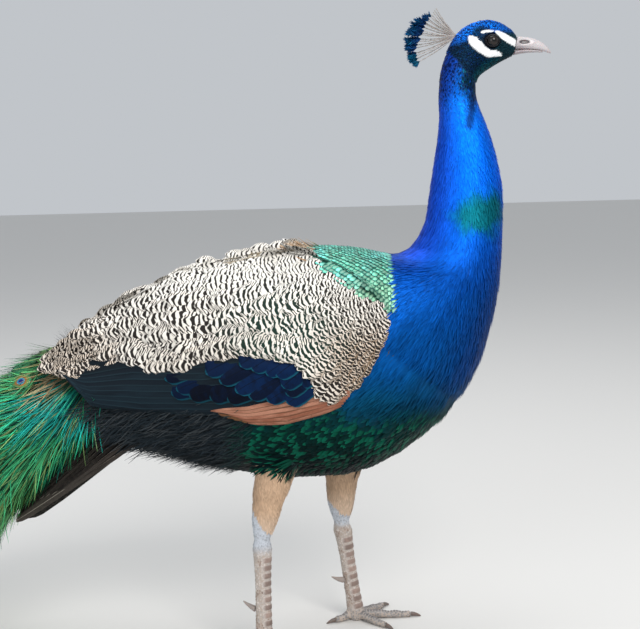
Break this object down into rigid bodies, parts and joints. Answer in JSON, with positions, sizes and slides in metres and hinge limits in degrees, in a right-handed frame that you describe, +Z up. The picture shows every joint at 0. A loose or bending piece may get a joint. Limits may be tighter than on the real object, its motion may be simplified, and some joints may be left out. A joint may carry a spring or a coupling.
{
  "type": "peacock",
  "caption": "Life-size adult male peafowl standing alert with folded wings, a fan crest and a long eyed train laid along the floor.",
  "frame": {"origin": "centre of the bounding box on the floor plane that both feet and the train rest on", "axes": "+X the way the bird faces, +Y its left side, +Z up"},
  "size_m": [2.0388, 0.2758, 0.875],
  "materials": {
    "cobalt_neck": "silky blue feathers, soft sheen",
    "crown_blue": "short scaly blue feathers",
    "breast_blue": "silky deep blue feathers",
    "belly_green": "dark green and black feathers",
    "barred_cream": "cream feathers with brown-black bars, matt",
    "quill_blue_black": "blue-black flight feathers, satin",
    "chestnut": "chestnut flight feathers, matt",
    "train_green": "green and bronze feathers, soft sheen",
    "tail_brown": "grey-brown tail feathers, matt",
    "thigh_buff": "short buff feathers, matt",
    "scute_grey": "scaly grey skin, satin",
    "horn": "pale horn, satin",
    "claw_brown": "dark horn, satin",
    "eye_brown": "wet dark brown eye, gloss",
    "crest_blue": "blue-green tufts on bare shafts"
  },
  "bodies": {
    "root": {"bill_lower": "horn", "bill_upper": "horn", "breast": "breast_blue", "claw_left_hallux": "claw_brown", "claw_left_inner": "claw_brown", "claw_left_middle": "claw_brown", "claw_left_outer": "claw_brown", "claw_right_hallux": "claw_brown", "claw_right_inner": "claw_brown", "claw_right_middle": "claw_brown", "claw_right_outer": "claw_brown", "crest": "crest_blue", "eye_left": "eye_brown", "eye_right": "eye_brown", "head": "crown_blue", "neck_lower": "cobalt_neck", "neck_upper": "cobalt_neck", "spur_left": "horn", "spur_right": "horn", "tail_rectrices": "tail_brown", "tarsus_left": "scute_grey", "tarsus_right": "scute_grey", "thigh_left": "thigh_buff", "thigh_right": "thigh_buff", "toe_left_hallux": "scute_grey", "toe_left_inner": "scute_grey", "toe_left_middle": "scute_grey", "toe_left_outer": "scute_grey", "toe_right_hallux": "scute_grey", "toe_right_inner": "scute_grey", "toe_right_middle": "scute_grey", "toe_right_outer": "scute_grey", "train_base": "train_green", "train_bend": "train_green", "train_end": "train_green", "train_fall": "train_green", "train_middle": "train_green", "trunk": "belly_green", "wing_coverts_left": "barred_cream", "wing_coverts_right": "barred_cream", "wing_primaries_left": "chestnut", "wing_primaries_right": "chestnut", "wing_secondaries_left": "quill_blue_black", "wing_secondaries_right": "quill_blue_black"}
  },
  "joints": []
}
